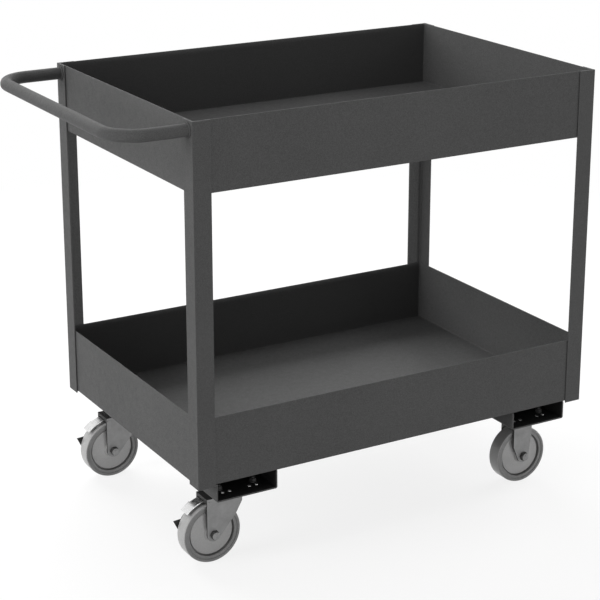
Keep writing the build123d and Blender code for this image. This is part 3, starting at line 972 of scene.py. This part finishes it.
for side in SIDES:
    axle_low, axle_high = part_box(f"wheel_tread_handle_{side}")
    axle = (axle_low + axle_high) / 2
    pin_low, pin_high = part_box(f"brake_pin_{side}")
    pin = (pin_low + pin_high) / 2
    plate_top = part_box(f"swivel_plate_{side}")[1].z
    # The forks' crown tops and sheared edges take painted shade.
    softened(
        f"rigid_fork_{side}", f"rigid_fork_{side}_pressing", "frame", "fork_steel", fork_grey, FORK_EASE,
        other=fork_painted_shade, where=is_sheared,
    )
    softened(
        f"swivel_fork_{side}", f"swivel_fork_{side}_pressing", f"swivel_{side}", "fork_steel", fork_grey,
        FORK_EASE, other=fork_painted_shade, where=crown_or_sheared(plate_top - CROWN_BELOW_PLATE_TOP),
    )
    softened(
        f"brake_pedal_{side}", f"brake_pedal_{side}_strip", f"brake_{side}", "brake_steel", bright,
        PEDAL_EASE, other=toe_black_eye_shade, where=toe_or_eye(axle, pin),
        cut=(axle, (-math.sin(TOE_START), 0.0, math.cos(TOE_START))),
    )
    softened(
        f"swivel_plate_{side}", f"swivel_plate_{side}_pressing", "frame", "zinc_hardware", zinc, SHEET_EASE,
    )

for side in SIDES:
    for node in ("kingpin", "kingpin_nut"):
        paint_node(f"{node}_{side}", zinc)
    paint_node(f"brake_pin_{side}", fork_grey)
    # The spring under the crown is near-black: dark steel and painted shade.
    paint_node(f"brake_spring_{side}", dark_steel_and_shade)
    for end in ENDS:
        paint_node(f"axle_sleeve_{end}_{side}", zinc)
        paint_node(f"wheel_bush_{end}_{side}", nylon)


# Caster bolts, nuts and washers

HOLE_X = 0.0381
HOLE_Y = 0.02225
CASTER_FLATS = 0.013
CASTER_HEAD_HEIGHT = 0.0053
CASTER_SHANK_RADIUS = 0.004
CASTER_NUT_BORE = 0.0042
WASHER_MIDDLE_RADIUS = 0.00605
WASHER_WIDTH = 0.0039


def bolt_places(name, height):
    """A point at each of the four fitted holes of each caster, at one height."""
    places = []
    for end, side in CASTERS:
        low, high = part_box(f"caster_channel_{end}")
        wheel_low, wheel_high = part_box(f"wheel_tread_{end}_{side}")
        for x in (-HOLE_X, HOLE_X):
            for y in (-HOLE_Y, HOLE_Y):
                places.append(((low.x + high.x) / 2 + x, (wheel_low.y + wheel_high.y) / 2 + y, height))
    return points_mesh(name, places)


# The bolts, nuts and washers inside the channels are near-black as painted shade.
bolts_low, bolts_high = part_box("caster_bolts")
head_middle = bolts_low.z + CASTER_HEAD_HEIGHT / 2
bolts = bolt_tree().bake(
    bolt_places("bolt_places", head_middle), "caster_bolt_set", Flats=CASTER_FLATS, Height=CASTER_HEAD_HEIGHT,
    ShankRadius=CASTER_SHANK_RADIUS, ShankLength=bolts_high.z - head_middle, Finish=dark_steel_and_shade,
)
smooth(bolts, degrees=25.0)
show(bolts, "caster_bolt_set", "frame", "zinc_hardware", "caster_bolts")

nuts_low, nuts_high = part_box("caster_nuts")
nuts = nut_tree().bake(
    bolt_places("nut_places", (nuts_low.z + nuts_high.z) / 2), "caster_nut_set", Flats=CASTER_FLATS,
    Height=nuts_high.z - nuts_low.z, BoreRadius=CASTER_NUT_BORE, Finish=dark_steel_and_shade,
)
smooth(nuts, degrees=25.0)
show(nuts, "caster_nut_set", "frame", "zinc_hardware", "caster_nuts")

washers_low, washers_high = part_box("caster_washers")
washers = washer_tree().bake(
    bolt_places("washer_places", (washers_low.z + washers_high.z) / 2), "caster_washer_set",
    MiddleRadius=WASHER_MIDDLE_RADIUS, Width=WASHER_WIDTH, Thickness=washers_high.z - washers_low.z,
    Finish=dark_steel_and_shade,
)
smooth(washers)
show(washers, "caster_washer_set", "frame", "zinc_hardware", "caster_washers")


# Swivels: a ring of balls and a thrust washer

BALLS = 16
THRUST_BAND = 0.007
THRUST_ROUND = 0.0003
THRUST_RELIEF = 0.0001
THRUST_STEPS = 96
THRUST_ARC_STEPS = 3


def ball_ring(tree, side):
    low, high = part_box(f"swivel_balls_{side}")
    ball = (high.z - low.z) / 2
    mesh = tree.bake(
        points_mesh(f"swivel_{side}_centre", [(low + high) / 2]), f"swivel_ball_ring_{side}",
        RingRadius=(high.x - low.x) / 2 - ball, BallRadius=ball, Count=BALLS, Finish=bright,
    )
    mesh.shade_smooth()
    show(mesh, f"swivel_ball_ring_{side}", f"swivel_{side}", "bright_steel", f"swivel_balls_{side}")


def thrust_washer(side):
    low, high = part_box(f"swivel_washer_{side}")
    centre = (low + high) / 2
    outside = (high.x - low.x) / 2
    inside = outside - THRUST_BAND
    top = (high.z - low.z) / 2
    bottom = THRUST_RELIEF - top
    corners = [(top, inside), (top, outside), (bottom, outside), (bottom, inside)]
    outline = rounded([(u, r, THRUST_ROUND) for u, r in corners], THRUST_ARC_STEPS)
    mesh = turned(outline, centre, f"thrust_washer_{side}", zinc, THRUST_STEPS, upright=True)
    show(mesh, f"thrust_washer_{side}", f"swivel_{side}", "zinc_hardware", f"swivel_washer_{side}")


balls = ball_tree()
for side in SIDES:
    ball_ring(balls, side)
    thrust_washer(side)


# Studio: pale floor, white surround, soft lamps, and the photograph's camera

WHITE = (1.0, 1.0, 1.0, 1.0)
SURROUND_LIGHT = 0.225
FLOOR_HALF = 30.0
FLOOR_BOUNCE = (0.45, 0.45, 0.45, 1.0)
SHADOW_REACH = (0.8, 2.6)
GLOW_SHARE = (0.84, 1.0)
SENSOR_WIDTH = 36.0


def looked_at(nodes, links):
    """1 for rays that look: from the camera, off gloss, or through something clear."""
    path = nodes.new("ShaderNodeLightPath")
    total = path.outputs["Is Camera Ray"]
    for kind in ("Is Glossy Ray", "Is Transmission Ray"):
        either = nodes.new("ShaderNodeMath")
        either.operation = "MAXIMUM"
        links.new(total, either.inputs[0])
        links.new(path.outputs[kind], either.inputs[1])
        total = either.outputs["Value"]
    return total


def mixed_shader(nodes, links, share, first, second):
    mix = nodes.new("ShaderNodeMixShader")
    links.new(share, mix.inputs["Fac"])
    links.new(first, mix.inputs[1])
    links.new(second, mix.inputs[2])
    return mix.outputs["Shader"]


def surround():
    """A white world to look at, which lights the cart only a little."""
    world = bpy.data.worlds.new("white_surround")
    scene.world = world
    world.use_nodes = True
    nodes, links = world.node_tree.nodes, world.node_tree.links
    nodes.clear()
    lit, seen = (nodes.new("ShaderNodeBackground") for _ in range(2))
    for background, strength in ((lit, SURROUND_LIGHT), (seen, 1.0)):
        background.inputs["Color"].default_value = WHITE
        background.inputs["Strength"].default_value = strength
    sides = (lit.outputs["Background"], seen.outputs["Background"])
    mix = mixed_shader(nodes, links, looked_at(nodes, links), *sides)
    links.new(mix, nodes.new("ShaderNodeOutputWorld").inputs["Surface"])


def pale_floor():
    """A floor that looks white, with a faint shadow near the cart, and throws less light back up."""
    material = bpy.data.materials.new("pale_floor")
    material.use_nodes = True
    nodes, links = material.node_tree.nodes, material.node_tree.links
    matt = nodes["Principled BSDF"]
    matt.inputs["Base Color"].default_value = FLOOR_BOUNCE
    matt.inputs["Roughness"].default_value = 0.9
    matt.inputs["Specular IOR Level"].default_value = 0.1
    pale = nodes.new("ShaderNodeBsdfDiffuse")
    pale.inputs["Color"].default_value = WHITE
    glow = nodes.new("ShaderNodeEmission")
    glow.inputs["Color"].default_value = WHITE
    glow.inputs["Strength"].default_value = 1.0
    away = nodes.new("ShaderNodeVectorMath")
    away.operation = "LENGTH"
    links.new(nodes.new("ShaderNodeTexCoord").outputs["Object"], away.inputs[0])
    share = nodes.new("ShaderNodeMapRange")
    share.inputs["From Min"].default_value, share.inputs["From Max"].default_value = SHADOW_REACH
    share.inputs["To Min"].default_value, share.inputs["To Max"].default_value = GLOW_SHARE
    links.new(away.outputs["Value"], share.inputs["Value"])
    seen = mixed_shader(nodes, links, share.outputs["Result"], pale.outputs["BSDF"], glow.outputs["Emission"])
    mix = mixed_shader(nodes, links, looked_at(nodes, links), matt.outputs["BSDF"], seen)
    links.new(mix, nodes["Material Output"].inputs["Surface"])
    return material


def floor():
    build = bmesh.new()
    bmesh.ops.create_grid(build, x_segments=1, y_segments=1, size=FLOOR_HALF)
    mesh = bpy.data.meshes.new("studio_floor")
    build.to_mesh(mesh)
    build.free()
    mesh.materials.append(pale_floor())
    piece = put("studio_floor", mesh)


def facing(along):
    """The turn that points a lamp along a direction."""
    return Vector(along).to_track_quat("-Z", "Y").to_euler()


def soft_box(name, place, aim, width, height, power):
    """A large soft lamp standing at a place and turned to its aim."""
    data = bpy.data.lights.new(name, "AREA")
    data.shape = "RECTANGLE"
    data.size = width
    data.size_y = height
    data.energy = power
    light = put(name, data)
    light.location = place
    light.rotation_euler = facing(Vector(aim) - Vector(place))
    light.visible_glossy = False


def level_wash(name, along, strength, softness):
    """Even light that comes in level with the floor, so that it washes only upright faces."""
    data = bpy.data.lights.new(name, "SUN")
    data.energy = strength
    data.angle = math.radians(softness)
    put(name, data).rotation_euler = facing(along)


def camera(place, turn, tip, lens, shift):
    """The photograph's camera, turned from +Y towards +X and tipped down by degrees."""
    data = bpy.data.cameras.new("photo_camera")
    data.sensor_width = SENSOR_WIDTH
    data.lens = lens
    data.shift_y = shift
    eye = put("photo_camera", data)
    eye.location = place
    eye.rotation_euler = (math.radians(90.0 - tip), 0.0, math.radians(-turn))
    scene.camera = eye


surround()
floor()
soft_box("handle_end_key", (-8.6, 0.3, 3.68), aim=(0.0, 0.0, 0.55), width=4.0, height=5.4, power=480.0)
soft_box("high_back_fill", (0.2, 4.2, 3.2), aim=(0.1, 0.0, 0.3), width=5.0, height=3.0, power=330.0)
soft_box("nose_end_fill", (4.6, 0.8, 3.2), aim=(-0.1, 0.0, 0.3), width=3.0, height=2.0, power=120.0)
soft_box("overhead", (0.1, 0.0, 4.8), aim=(0.1, 0.0, 0.0), width=2.0, height=2.0, power=25.0)
level_wash("front_wash_past_handle", along=(0.26, 1.0, -0.005), strength=0.49, softness=1.5)
level_wash("front_wash_past_nose", along=(-0.26, 1.0, -0.005), strength=0.49, softness=1.5)
level_wash("back_wash", along=(0.0, -1.0, -0.03), strength=0.1, softness=3.0)
level_wash("nose_wash", along=(-1.0, 0.0, -0.03), strength=0.65, softness=3.0)
camera((-1.8035, -3.1292, 1.6603), turn=30.23, tip=17.07, lens=107.8, shift=-0.1)
